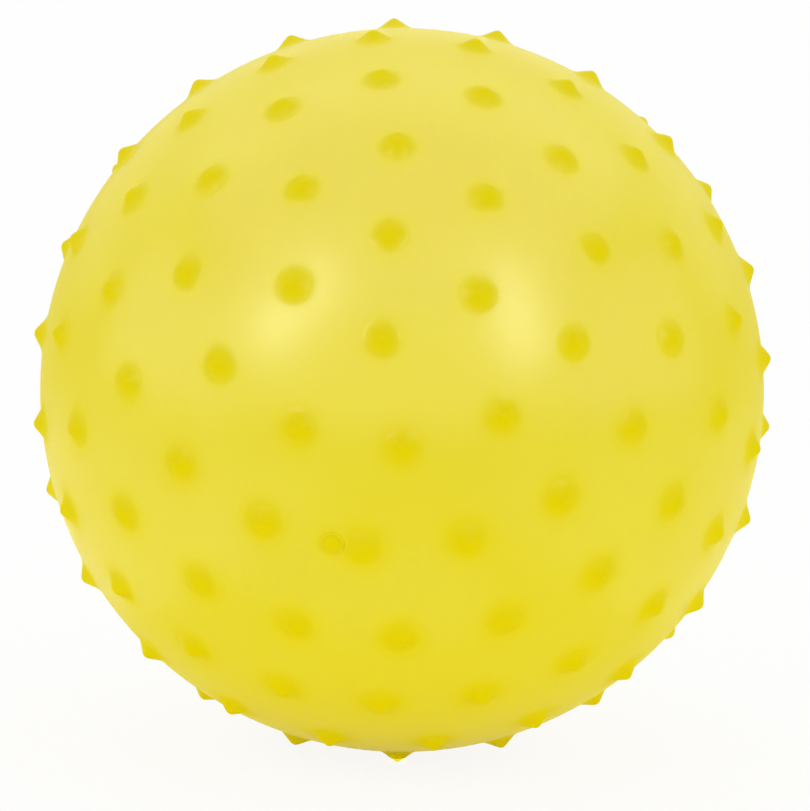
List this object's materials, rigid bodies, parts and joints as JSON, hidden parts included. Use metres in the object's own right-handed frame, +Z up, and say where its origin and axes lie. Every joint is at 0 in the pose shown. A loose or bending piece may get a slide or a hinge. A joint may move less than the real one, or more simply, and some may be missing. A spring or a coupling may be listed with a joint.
{
  "type": "sensory ball",
  "caption": "Hollow soft ball covered with rows of small rounded nubs, with a flush air valve closed by a pull-out stopper, for grasping, rolling and massage play.",
  "frame": {"origin": "centre of the ball, which is the centre of the skin's sphere", "axes": "+Z up from the floor that the ball rests on, -Y towards the viewer of the picture"},
  "size_m": [0.1835, 0.1844, 0.1826],
  "materials": {
    "skin": "satin soft vinyl",
    "valve": "satin soft vinyl",
    "stopper": "satin soft vinyl"
  },
  "bodies": {
    "ball": {"ball_skin": "skin", "valve_insert": "valve"},
    "stopper": {"valve_stopper": "stopper"}
  },
  "joints": [
    {"name": "stopper_pull", "type": "slide", "parent": "ball", "child": "stopper", "axis": [-0.177, -0.9551, -0.2375], "range_m": [0, 0.02]}
  ]
}
